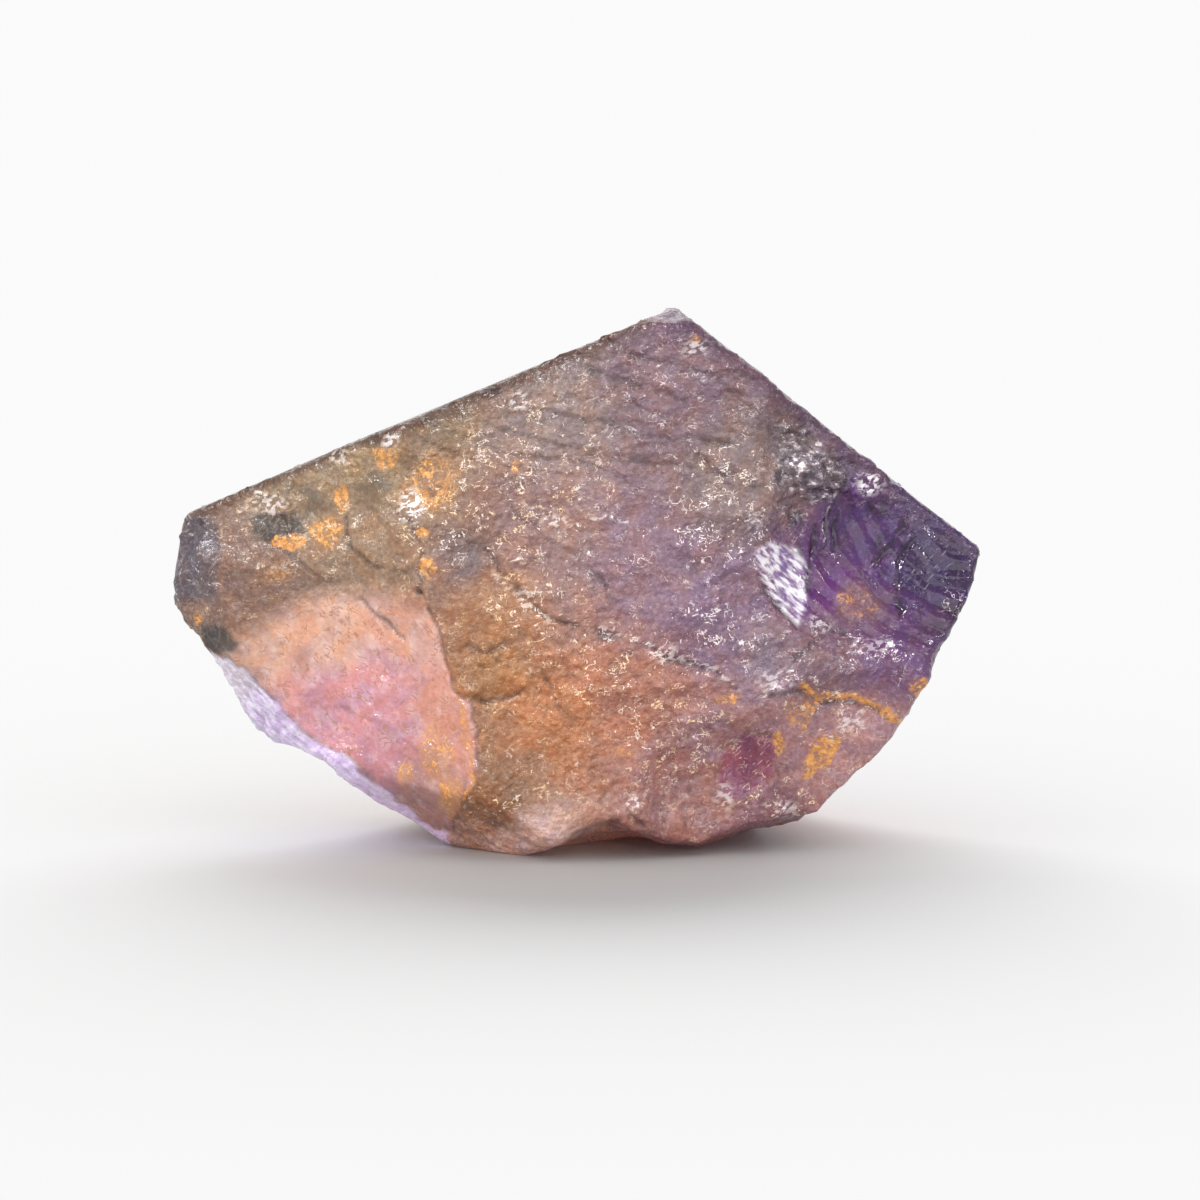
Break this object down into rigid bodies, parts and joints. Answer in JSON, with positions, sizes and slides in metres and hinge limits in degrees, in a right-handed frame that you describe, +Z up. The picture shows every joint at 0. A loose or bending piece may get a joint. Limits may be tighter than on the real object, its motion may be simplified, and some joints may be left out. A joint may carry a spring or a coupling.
{
  "type": "rough ametrine",
  "caption": "Rough two-coloured quartz crystal fragment, violet and orange, with flat natural faces above and broken faces in front, behind and below; it stands on a flat base.",
  "frame": {"origin": "middle of the stone's bounding box seen from above, at the height of its flat base", "axes": "+X the stone's long way, to the right as seen from its broad front; +Y from the broad front to the back; +Z up from the base"},
  "size_m": [0.05, 0.0266, 0.0331],
  "materials": {
    "quartz": "frosted broken faces and glossy flake scars, clear inside, with orange iron stain"
  },
  "bodies": {
    "root": {"ametrine": "quartz"}
  },
  "joints": []
}
